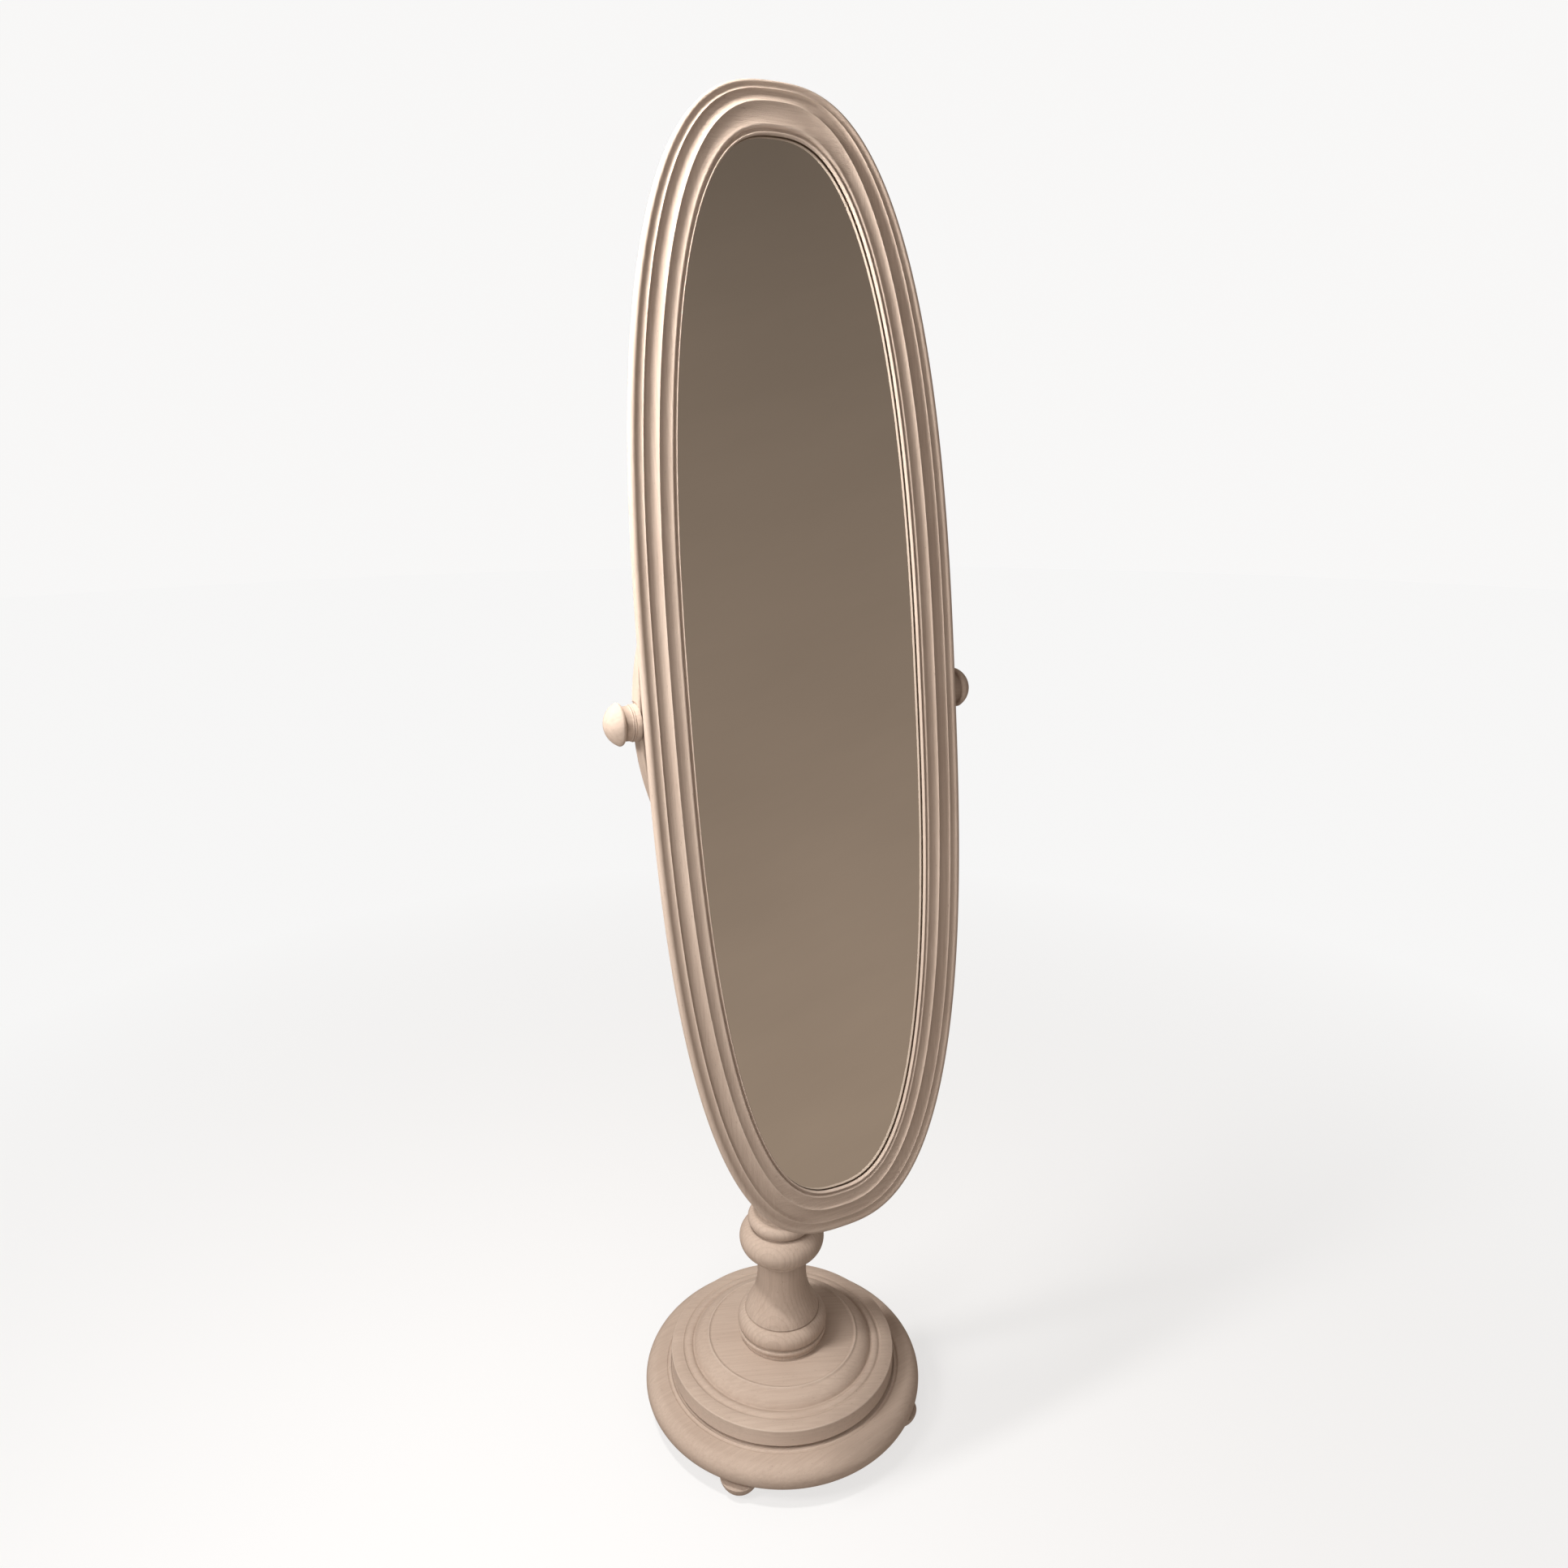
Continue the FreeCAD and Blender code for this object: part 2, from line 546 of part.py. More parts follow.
def mirror():
    ring = swept(moulding)
    dowels = []
    for x in (-RAIL_HALF, RAIL_HALF):
        for z in (-FRAME_DOWEL_UP, FRAME_DOWEL_UP):
            start = V(x - FRAME_DOWEL_LEN / 2, LIP_Y + FRAME_DOWEL_DEPTH, OVAL_UP + z)
            dowels.append(Part.makeCylinder(FRAME_DOWEL_R, FRAME_DOWEL_LEN, start, V(1, 0, 0)))
    points = frame_points()
    ring = pivot_blocks(ring.cut(dowels + points))
    tall = 2 * LIP_HALF_H
    deep = 2 * -LIP_Y
    top = block(-RAIL_HALF, RAIL_HALF, -deep, deep, 0, tall)
    bottom = block(-RAIL_HALF, RAIL_HALF, -deep, deep, -tall, 0)
    right = block(0, tall, -deep, deep, -tall, tall)
    save("frame_top", to_mirror(ring.common(top)))
    save("frame_bottom", to_mirror(ring.common(bottom)))
    save("frame_right", to_mirror(ring.common(right).cut([top, bottom])))
    save("frame_left", to_mirror(ring.cut([right, top, bottom])))
    save("frame_dowels", to_mirror(Part.makeCompound(dowels)))
    save("framers_points", to_mirror(Part.makeCompound(points)))
    save("mirror_glass", to_mirror(oval_plate(GLASS_OVER, GLASS_FRONT, GLASS_T)))
    save("backing_board", to_mirror(oval_plate(GLASS_OVER + 1, GLASS_FRONT + GLASS_T, BOARD_T)))


os.makedirs("parts", exist_ok=True)
base()
column()
hub(*yoke())
pivot()
mirror()
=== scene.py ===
import json
import math

import bmesh
import bpy
from mathutils import Matrix, Vector, noise


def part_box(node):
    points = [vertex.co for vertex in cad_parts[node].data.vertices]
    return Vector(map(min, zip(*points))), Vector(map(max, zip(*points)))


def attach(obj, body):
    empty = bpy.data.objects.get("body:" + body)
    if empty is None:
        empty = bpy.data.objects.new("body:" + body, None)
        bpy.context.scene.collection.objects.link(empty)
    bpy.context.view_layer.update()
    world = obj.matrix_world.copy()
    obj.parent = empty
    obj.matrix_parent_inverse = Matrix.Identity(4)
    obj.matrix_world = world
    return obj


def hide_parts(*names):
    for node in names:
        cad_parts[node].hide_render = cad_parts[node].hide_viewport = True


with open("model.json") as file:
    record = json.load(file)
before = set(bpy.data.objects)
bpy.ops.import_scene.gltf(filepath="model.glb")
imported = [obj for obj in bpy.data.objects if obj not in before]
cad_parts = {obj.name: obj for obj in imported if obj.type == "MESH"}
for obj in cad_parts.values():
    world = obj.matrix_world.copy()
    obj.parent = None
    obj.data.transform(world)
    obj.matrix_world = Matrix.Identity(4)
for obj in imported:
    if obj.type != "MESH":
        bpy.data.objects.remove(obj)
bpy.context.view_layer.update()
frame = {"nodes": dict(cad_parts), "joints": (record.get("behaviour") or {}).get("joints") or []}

MM = 0.001
TINY = 1e-6             # millimetres, taken as no length at all
JOINTS = {joint["name"]: joint for joint in frame["joints"]}
PIVOT = Vector(JOINTS["mirror_tilt"]["pos_m"])          # a point on the hinge

TILT = math.radians(7.9)        # how far the mirror's top leans back at rest
TO_MIRROR = Matrix.Translation(PIVOT) @ Matrix.Rotation(-TILT, 4, "X")

LATHE_SIDES = 224
KNOB_SIDES = 128
FOOT_SIDES = 96
SHARP_DEG = 22.0        # bends in an outline from here on are corners, and get softened
CREASE_DEG = 40.0       # edges of a mesh from here on are shaded sharp
ROUNDING = 0.45         # millimetres, the radius that paint and sanding leave on a sharp corner
CORNER_STEPS = 4        # straight steps in a softened corner
CORNER_SHARE = 0.3      # most of a neighbouring run that one corner takes up
FLAT_FROM = 1.5         # where the flat beside a corner starts, in lengths of the corner's cut
CAVITY_REACH = 1.2      # millimetres over which hollows and edges of an outline are averaged


# ---- Mesh helpers -----------------------------------------------------------------------------

def arc_points(start, middle, end, step_deg):
    """Points after start on the arc through three points, at most step_deg apart."""
    ax, ay = start
    bx, by = middle
    cx, cy = end
    d = 2 * (ax * (by - cy) + bx * (cy - ay) + cx * (ay - by))
    ux = ((ax**2 + ay**2) * (by - cy) + (bx**2 + by**2) * (cy - ay) + (cx**2 + cy**2) * (ay - by)) / d
    uy = ((ax**2 + ay**2) * (cx - bx) + (bx**2 + by**2) * (ax - cx) + (cx**2 + cy**2) * (bx - ax)) / d
    radius = math.hypot(ax - ux, ay - uy)
    first = math.atan2(ay - uy, ax - ux)
    last = math.atan2(cy - uy, cx - ux)
    if d > 0:
        last += 2 * math.pi if last < first else 0
    else:
        last -= 2 * math.pi if last > first else 0
    count = max(2, math.ceil(abs(last - first) / math.radians(step_deg)))
    turns = [first + (last - first) * i / count for i in range(1, count + 1)]
    return [(ux + radius * math.cos(t), uy + radius * math.sin(t)) for t in turns]


def outline(start, *steps, step_deg=6.0):
    """Open outline: each step is a point, or (middle, end) for an arc."""
    points = [start]
    for step in steps:
        if isinstance(step[0], tuple):
            points += arc_points(points[-1], step[0], step[1], step_deg)
        else:
            points.append(step)
    return points


def softened(points, closed):
    """The outline with its sharp corners replaced by small arcs."""
    result = []
    last = len(points) - 1
    for i, point in enumerate(points):
        here = Vector(point)
        if not closed and i in (0, last):
            result.append(here)
            continue
        before = Vector(points[i - 1]) - here
        after = Vector(points[(i + 1) % len(points)]) - here
        bend = math.pi - before.angle(after)
        if math.degrees(bend) < SHARP_DEG:
            result.append(here)
            continue
        cut = min(ROUNDING * math.tan(bend / 2), CORNER_SHARE * before.length, CORNER_SHARE * after.length)
        a = here + before.normalized() * cut
        b = here + after.normalized() * cut
        # The extra point each side keeps the flat beside the corner flat when it is smooth shaded.
        result.append(here + before.normalized() * FLAT_FROM * cut)
        for k in range(CORNER_STEPS + 1):
            t = k / CORNER_STEPS
            result.append(a * (1 - t)**2 + here * 2 * t * (1 - t) + b * t * t)
        result.append(here + after.normalized() * FLAT_FROM * cut)
    return result


def cavity_of(points, closed):
    """How hollow (+) or proud (-) the outline is at each point, averaged over a short reach."""
    count = len(points)
    bends = []
    for i, here in enumerate(points):
        if not closed and i in (0, count - 1):
            bends.append(0.0)
            continue
        before = here - points[i - 1]
        after = points[(i + 1) % count] - here
        if min(before.length, after.length) < TINY:
            bends.append(0.0)
            continue
        bends.append(before.angle_signed(after))
    blurred = []
    for here in points:
        total = 0.0
        for other, bend in zip(points, bends):
            gap = (other - here).length
            if gap < 3 * CAVITY_REACH:
                total += bend * math.exp(-(gap / CAVITY_REACH)**2)
        blurred.append(total)
    return blurred


def new_object(name, bm, smooth=True):
    """Object from a bmesh, which is used up. Smooth shading keeps its creases sharp."""
    mesh = bpy.data.meshes.new(name)
    bmesh.ops.recalc_face_normals(bm, faces=bm.faces)
    if smooth:
        for face in bm.faces:
            face.smooth = True
        for edge in bm.edges:
            if len(edge.link_faces) == 2 and edge.calc_face_angle() > math.radians(CREASE_DEG):
                edge.smooth = False
    bm.to_mesh(mesh)
    bm.free()
    obj = bpy.data.objects.new(name, mesh)
    bpy.context.scene.collection.objects.link(obj)
    return obj


def lathe(name, points, sides=LATHE_SIDES, axis="Z", origin=(0, 0, 0)):
    """Closed turned piece from an outline of (radius, height) in mm that starts and ends on the axis."""
    points = softened(points, False)
    hollows = cavity_of(points, False)
    bm = bmesh.new()
    layer = bm.verts.layers.float.new("cavity")
    rings = []
    for point, hollow in zip(points, hollows):
        radius = point.x * MM
        height = point.y * MM
        if radius < TINY * MM:
            vert = bm.verts.new((0, 0, height))
            vert[layer] = hollow
            rings.append([vert])
            continue
        ring = []
        for i in range(sides):
            turn = 2 * math.pi * i / sides
            vert = bm.verts.new((radius * math.cos(turn), radius * math.sin(turn), height))
            vert[layer] = hollow
            ring.append(vert)
        rings.append(ring)
    for low, high in zip(rings, rings[1:]):
        for i in range(sides):
            j = (i + 1) % sides
            if len(low) == 1:
                bm.faces.new((low[0], high[j], high[i]))
            elif len(high) == 1:
                bm.faces.new((low[i], low[j], high[0]))
            else:
                bm.faces.new((low[i], low[j], high[j], high[i]))
    turn_to = {"Z": 0, "X": math.pi / 2, "-X": -math.pi / 2}[axis]
    place = Matrix.Translation(origin) @ Matrix.Rotation(turn_to, 4, "Y")
    bmesh.ops.transform(bm, matrix=place, verts=bm.verts)
    return new_object(name, bm)


# ---- Materials --------------------------------------------------------------------------------

class Nodes:
    """Short way to build a material's node tree."""

    def __init__(self, name):
        self.material = bpy.data.materials.new(name)
        self.material.use_nodes = True
        self.tree = self.material.node_tree
        self.shader = self.tree.nodes["Principled BSDF"]

    def add(self, kind, settings=None, **inputs):
        """New node. An input's name is written with _ for its spaces."""
        node = self.tree.nodes.new("ShaderNode" + kind)
        for key, value in (settings or {}).items():
            setattr(node, key, value)
        for key, value in inputs.items():
            self.put(node.inputs[key.replace("_", " ")], value)
        return node

    def put(self, socket, value):
        """Link a socket, or set it to a value."""
        if isinstance(value, bpy.types.NodeSocket):
            self.tree.links.new(value, socket)
        else:
            socket.default_value = value

    def math(self, operation, a, b=0.0):
        """Result of one sum on two values."""
        node = self.tree.nodes.new("ShaderNodeMath")
        node.operation = operation
        self.put(node.inputs[0], a)
        self.put(node.inputs[1], b)
        return node.outputs[0]

    def mix(self, factor, a, b):
        """Colour a with a share of colour b."""
        node = self.tree.nodes.new("ShaderNodeMix")
        node.data_type = "RGBA"
        self.put(node.inputs["Factor"], factor)
        self.put(node.inputs["A"], a)
        self.put(node.inputs["B"], b)
        return node.outputs["Result"]

    def ramp(self, value, low, high):
        """0 up to low, 1 from high on, and straight between."""
        node = self.add("MapRange", {"clamp": True}, Value=value)
        node.inputs["From Min"].default_value = low
        node.inputs["From Max"].default_value = high
        return node.outputs["Result"]

    def noise(self, vector, scale=1.0, detail=4.0, roughness=0.55):
        """Noise from 0 to 1, mostly close to 0.5."""
        node = self.add("TexNoise", None, Vector=vector, Scale=scale, Detail=detail, Roughness=roughness)
        return node.outputs["Fac"]

    def coords(self, turn=(0, 0, 0), stretch=(1, 1, 1)):
        """Place in the scene in metres, turned and then stretched."""
        place = self.add("TexCoord").outputs["Object"]
        mapping = self.add("Mapping", {"vector_type": "POINT"}, Vector=place)
        mapping.inputs["Rotation"].default_value = turn
        scaled = self.add("VectorMath", {"operation": "MULTIPLY"})
        self.put(scaled.inputs[0], mapping.outputs[0])
        scaled.inputs[1].default_value = stretch
        return scaled.outputs[0]

    def bump(self, height, distance, strength, normal=None):
        """Normal for a relief that is distance metres deep, on top of another relief's normal."""
        node = self.add("Bump", None, Height=height, Distance=distance, Strength=strength)
        if normal is not None:
            self.put(node.inputs["Normal"], normal)
        return node.outputs["Normal"]


def srgb(red, green, blue):
    """Linear colour from 0-255 display values."""
    parts = []
    for value in (red, green, blue):
        v = value / 255
        parts.append(v / 12.92 if v <= 0.04045 else ((v + 0.055) / 1.055)**2.4)
    return (*parts, 1.0)


PAINT_THIN = srgb(185, 167, 154)
PAINT_FULL = srgb(198, 181, 168)
PAINT_DARK = srgb(132, 115, 103)        # painted shade in hollows, and where the grain shows through
PAINT_EDGE_HIGHLIGHT = srgb(214, 200, 189)       # painted highlight on proud edges
PAINT_PORE = srgb(104, 88, 77)
PAINT_GLOSS = 0.32
HOLLOW_SHADE = 0.42           # how much painted shade darkens the hollows
DISC_HOLLOW_SHADE = 0.12
RING_SPACING = 60.0     # scale of the growth rings
RING_LEAN = (0.09, 0.05, 0.0)
RING_HEART = (0.075, 0.12, 0.0)         # metres from the piece's axis to the heart of the tree


def growth_rings(n, grain, colour, normal):
    """Soft lines where a turned surface cuts through the growth rings."""
    heart = n.add("VectorMath", {"operation": "ADD"})
    n.put(heart.inputs[0], n.coords(RING_LEAN))
    heart.inputs[1].default_value = RING_HEART
    bands = n.add(
        "TexWave", {"wave_type": "RINGS", "rings_direction": grain, "wave_profile": "SAW"},
        Vector=heart.outputs[0], Scale=RING_SPACING, Distortion=0.35, Detail=1.0)
    line = n.ramp(bands.outputs["Fac"], 0.55, 1.0)
    colour = n.mix(n.math("MULTIPLY", line, 0.16), colour, PAINT_DARK)
    return colour, n.bump(line, -0.0003, 0.18, normal)


def painted_wood(name, grain="Z", turn=(0, 0, 0), coarse=1.0, rings=False, hollow_shade=HOLLOW_SHADE):
    """Matt chalk paint over wood whose grain runs along one axis, so that end grain comes out rough."""
    n = Nodes(name)
    across = {"X": (0, 1, 1), "Y": (1, 0, 1), "Z": (1, 1, 0)}[grain]

    def stretched(cross, along):
        return n.coords(turn, tuple(cross if a else along for a in across))

    fibres = n.noise(stretched(1500, 60), detail=3.0, roughness=0.7)
    streaks = n.noise(stretched(300, 10), detail=5.0)
    hairs = n.noise(stretched(420, 26), detail=2.0, roughness=0.6)
    pores = n.ramp(n.noise(stretched(900, 220), detail=1.0), 0.70, 0.80)
    mottle = n.noise(n.coords(), 7.0, 3.0)
    brush = n.noise(n.coords(turn, (60, 60, 60)), detail=6.0, roughness=0.65)
    cavity = n.add("Attribute", {"attribute_name": "cavity"}).outputs["Fac"]
    hollow = n.ramp(cavity, 0.12, 1.1)
    proud = n.ramp(n.math("MULTIPLY", cavity, -1.0), 0.25, 1.2)

    tone = n.math("ADD", n.math("MULTIPLY", streaks, 0.5), n.math("MULTIPLY", mottle, 0.5))
    colour = n.mix(n.ramp(tone, 0.38, 0.62), PAINT_THIN, PAINT_FULL)
    colour = n.mix(n.math("MULTIPLY", n.ramp(fibres, 0.55, 0.8), 0.22 * coarse), colour, PAINT_DARK)
    # Painted shade: the outline's hollows are darkened towards PAINT_DARK, where shade falls.
    colour = n.mix(n.math("MULTIPLY", hollow, hollow_shade), colour, PAINT_DARK)
    # Painted highlight: the outline's proud edges are lightened.
    colour = n.mix(n.math("MULTIPLY", proud, 0.35), colour, PAINT_EDGE_HIGHLIGHT)
    colour = n.mix(n.math("MULTIPLY", pores, 0.5), colour, PAINT_PORE)
    normal = n.bump(brush, 0.0006, 0.12)
    normal = n.bump(streaks, 0.0008, 0.25 * coarse, normal)
    normal = n.bump(hairs, 0.0009, 0.30 * coarse, normal)
    normal = n.bump(fibres, 0.0005, 0.35 * coarse, normal)
    if rings:
        colour, normal = growth_rings(n, grain, colour, normal)
    n.put(n.shader.inputs["Base Color"], colour)
    n.put(n.shader.inputs["Normal"], normal)
    n.put(n.shader.inputs["Roughness"], n.math("ADD", n.math("MULTIPLY", brush, 0.2), 0.52))
    n.shader.inputs["Specular IOR Level"].default_value = PAINT_GLOSS
    return n.material


def metal(name, colour, dark, roughness, turned_lines):
    """Machined metal with fine turning lines and tarnish."""
    n = Nodes(name)
    lines = n.noise(n.coords((0, 0, 0), turned_lines), detail=2.0)
    tarnish = n.noise(n.coords(), 90.0, 5.0)
    n.put(n.shader.inputs["Base Color"], n.mix(n.ramp(tarnish, 0.4, 0.75), colour, dark))
    n.put(n.shader.inputs["Normal"], n.bump(lines, 0.0002, 0.3))
    n.put(n.shader.inputs["Roughness"], n.math("ADD", n.math("MULTIPLY", tarnish, 0.25), roughness))
    n.shader.inputs["Metallic"].default_value = 1.0
    return n.material


def mirror_silver():
    """Silvered glass: a faint green tint, a few wipe marks and specks of dust."""
    n = Nodes("mirror_silver")
    wipes = n.noise(n.coords((0.2, 0.3, 0.1), (4, 4, 18)), detail=4.0)
    dust = n.ramp(n.noise(n.coords(), 700.0, 1.0), 0.74, 0.80)
    tint = n.mix(n.ramp(wipes, 0.3, 0.8), (0.86, 0.87, 0.85, 1), (0.82, 0.83, 0.81, 1))
    n.put(n.shader.inputs["Base Color"], n.mix(n.math("MULTIPLY", dust, 0.25), tint, (0.7, 0.68, 0.64, 1)))
    smear = n.math("MULTIPLY", n.ramp(wipes, 0.45, 0.9), 0.035)
    n.put(n.shader.inputs["Roughness"], n.math("ADD", smear, 0.012))
    n.shader.inputs["Metallic"].default_value = 1.0
    return n.material


def hardboard():
    """Brown pressed fibre board with a fine print of the press's mesh."""
    n = Nodes("hardboard")
    fibre = n.noise(n.coords((0.3, 0.2, 0.4), (500, 90, 500)), detail=5.0)
    blotch = n.noise(n.coords(), 14.0, 4.0)
    speck = n.ramp(n.noise(n.coords(), 900.0, 1.0), 0.66, 0.78)
    colour = n.mix(n.ramp(blotch, 0.3, 0.7), srgb(128, 88, 56), srgb(150, 108, 72))
    colour = n.mix(n.math("MULTIPLY", speck, 0.5), colour, srgb(84, 54, 34))
    n.put(n.shader.inputs["Base Color"], colour)
    weave = n.add("TexVoronoi", {"feature": "F1"}, Vector=n.coords(), Scale=700.0)
    normal = n.bump(weave.outputs["Distance"], 0.0003, 0.4)
    n.put(n.shader.inputs["Normal"], n.bump(fibre, 0.0004, 0.4, normal))
    n.shader.inputs["Roughness"].default_value = 0.8
    return n.material


def bare_wood():
    """Unpainted beech of the dowels, with its grain along X."""
    n = Nodes("bare_wood")
    grain = n.noise(n.coords((0, 0, 0), (40, 900, 900)), detail=4.0)
    colour = n.mix(n.ramp(grain, 0.3, 0.7), srgb(196, 158, 112), srgb(160, 118, 76))
    n.put(n.shader.inputs["Base Color"], colour)
    n.put(n.shader.inputs["Normal"], n.bump(grain, 0.0004, 0.4))
    n.shader.inputs["Roughness"].default_value = 0.7
    return n.material


def fibrous(name, dark, light, scale):
    """Felt or fibre: short tangled hairs with fuzz."""
    n = Nodes(name)
    hairs = n.noise(n.coords((0.6, 0.4, 0.2), (scale, scale * 0.2, scale * 0.6)), detail=6.0, roughness=0.7)
    clumps = n.noise(n.coords(), scale * 0.2, 4.0)
    colour = n.mix(n.ramp(hairs, 0.3, 0.7), dark, light)
    colour = n.mix(n.math("MULTIPLY", n.ramp(clumps, 0.5, 0.8), 0.4), colour, light)
    n.put(n.shader.inputs["Base Color"], colour)
    n.put(n.shader.inputs["Normal"], n.bump(hairs, 0.0008, 0.7))
    n.shader.inputs["Roughness"].default_value = 0.95
    n.shader.inputs["Sheen Weight"].default_value = 0.4
    return n.material


LEAN = (TILT, 0, 0)
MATERIALS = {
    "stile": painted_wood("painted_stile", "Z", LEAN, 0.8),
    "rail": painted_wood("painted_rail", "X", LEAN, 2.2),
    "turned": painted_wood("painted_turning", "Z", rings=True),
    "disc": painted_wood("painted_disc", "X", (0, 0, 0.35), 0.7, hollow_shade=DISC_HOLLOW_SHADE),
    "disc_low": painted_wood("painted_low_disc", "X", (0, 0, -0.2), 0.7, hollow_shade=DISC_HOLLOW_SHADE),
    "arm": painted_wood("painted_arm", "Z", coarse=0.8),
    "knob": painted_wood("painted_knob", "X", coarse=0.9),
    "mirror": mirror_silver(),
    "board": hardboard(),
    "bare_wood": bare_wood(),
    "brass": metal("turned_brass", srgb(214, 176, 98), srgb(150, 112, 58), 0.22, (1600, 30, 30)),
    "steel": metal("zinc_steel", srgb(196, 198, 200), srgb(140, 142, 146), 0.3, (60, 60, 1500)),
    "fibre": fibrous("washer_fibre", srgb(92, 46, 34), srgb(128, 70, 52), 900),
    "felt": fibrous("felt_pad", srgb(58, 50, 44), srgb(84, 74, 66), 1200),
}


def finish_with(obj, key):
    """Give an object one of the materials."""
    obj.data.materials.clear()
    obj.data.materials.append(MATERIALS[key])


def stands_for(obj, node, body, key):
    """Put a detailed piece in the place of a CAD node."""
    finish_with(obj, key)
    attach(obj, body)
    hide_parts(node)


# ---- Mirror frame -----------------------------------------------------------------------------

# Millimetres in the mirror's own axes, from the hinge: x to the right, y to the back, z up the glass.
# Widths in the section go outwards from the lip, and depths go back from the lip's front.
LIP_Y = -36.2
OVAL_UP = 4.1           # the oval's middle above the hinge
LIP_HALF_W = 146.6
LIP_HALF_H = 606.2
ARC_ENDS_DEG = [2.2, 11.1, 28.3]        # where the arcs of a quadrant meet, as outward directions
ARC_MID_R = [1557.4, 415.0]     # radii of the two middle arcs
RAIL_HALF = 87.0        # half the length of a rail, from joint to joint
GLASS_FRONT = 5.0       # depth at which the lip meets the glass
GLASS_OVER = 3.6        # how far the glass and the board reach past the lip
BOARD_OVER = 4.6
PLATE_BEVEL = 0.4
REBATE_W = 5.6
BODY_BACK = 21.9
BODY_W = 16.6
FLANGE_BACK = 11.9
FLANGE_BEVEL = 1.0
FRAME_W = 53.2
CREST_W = 21.7
ARRIS_W = 38.7
SILVER_DEPTH = 6.9      # depth at which the silvering is seen
BOARD_FRONT = 8.0
BOARD_BACK = 12.0

RIM_STATION = 2.5       # between two sections, along the frame's rim
WORN_FROM = 4.4         # hand work and sanding leave the front uneven between these widths
WORN_TO = 52.6
WAVES = [(60, 0.00018), (420, 0.00008)]         # (waves per metre, height in metres)

# The lines of the moulding, each as (width in the section, half width, half height, middle, exponent)
# of |x / half width|^n + |(z - middle) / half height|^n = 1. They aren't quite parallel, as on any
# moulding shaped by hand.
LINES = [
    (0.0, 147.1, 602.2, 2.1, 2.59),
    (CREST_W, 168.3, 629.3, 6.8, 2.547),
    (ARRIS_W, 184.8, 644.1, 4.3, 2.651),
    (FRAME_W, 199.3, 655.5, 1.9, 2.668),
]
LINE_SHIFT = 20.0       # most that a line may lie from its width in the section
HALVINGS = 30


def oval_arcs():
    """Arcs of the lip's outline, counter-clockwise: (centre x, centre z, radius, from, to)."""
    ends = [0.0] + [math.radians(d) for d in ARC_ENDS_DEG] + [math.pi / 2]
    # The first and last radius follow from the half width and the half height.
    across = [math.cos(a) - math.cos(b) for a, b in zip(ends, ends[1:])]
    up = [math.sin(b) - math.sin(a) for a, b in zip(ends, ends[1:])]
    width = LIP_HALF_W - sum(r * c for r, c in zip(ARC_MID_R, across[1:3]))
    height = LIP_HALF_H - sum(r * u for r, u in zip(ARC_MID_R, up[1:3]))
    scale = across[0] * up[3] - across[3] * up[0]
    first = (width * up[3] - across[3] * height) / scale
    last = (across[0] * height - up[0] * width) / scale
    radii = [first] + ARC_MID_R + [last]
    x = LIP_HALF_W - first
    z = 0.0
    quadrant = [(x, z, first, -ends[1], ends[1])]
    for i in (1, 2, 3):
        x += (radii[i - 1] - radii[i]) * math.cos(ends[i])
        z += (radii[i - 1] - radii[i]) * math.sin(ends[i])
        stop = ends[i + 1] if i < 3 else math.pi - ends[3]
        quadrant.append((x, z, radii[i], ends[i], stop))
    side, upper, end, cap = quadrant
    arcs = [side, upper, end, cap]
    for x, z, r, a, b in (end, upper, side):
        arcs.append((-x, z, r, math.pi - b, math.pi - a))
    for x, z, r, a, b in (upper, end, cap, end, upper):
        left = len(arcs) < 9
        start = math.pi + a if left else 2 * math.pi - b
        arcs.append((-x if left else x, -z, r, start, start + b - a))
    return arcs


def oval_stations():
    """Places round the lip, each with its lines: (x, z, direction outwards, reaches)."""
    stations = []
    for x, z, radius, start, stop in oval_arcs():
        length = (radius + FRAME_W) * (stop - start)
        count = max(2, round(length / RIM_STATION))
        for i in range(count):
            turn = start + (stop - start) * i / count
            out = Vector((math.cos(turn), math.sin(turn)))
            lip_x = x + radius * out.x
            lip_z = z + OVAL_UP + radius * out.y
            stations.append((lip_x, lip_z, out, [line_reach(lip_x, lip_z, out, line) for line in LINES]))
    return stations


def line_reach(x, z, out, line):
    """Distance from a place on the lip, along its outward direction, to one of the moulding's lines."""
    width, half_w, half_h, middle, power = line
    low = width - LINE_SHIFT
    high = width + LINE_SHIFT
    for _ in range(HALVINGS):
        reach = (low + high) / 2
        across = abs((x + out.x * reach) / half_w)
        up = abs((z + out.y * reach - middle) / half_h)
        if across**power + up**power < 1:
            low = reach
        else:
            high = reach
    return (low + high) / 2


def fitted(width, reaches):
    """A width in the section, moved so that the moulding's lines fall on their own reaches."""
    widths = [line[0] for line in LINES]
    i = 1
    while width > widths[i] and i < len(LINES) - 1:
        i += 1
    t = (width - widths[i - 1]) / (widths[i] - widths[i - 1])
    return reaches[i - 1] + (reaches[i] - reaches[i - 1]) * t


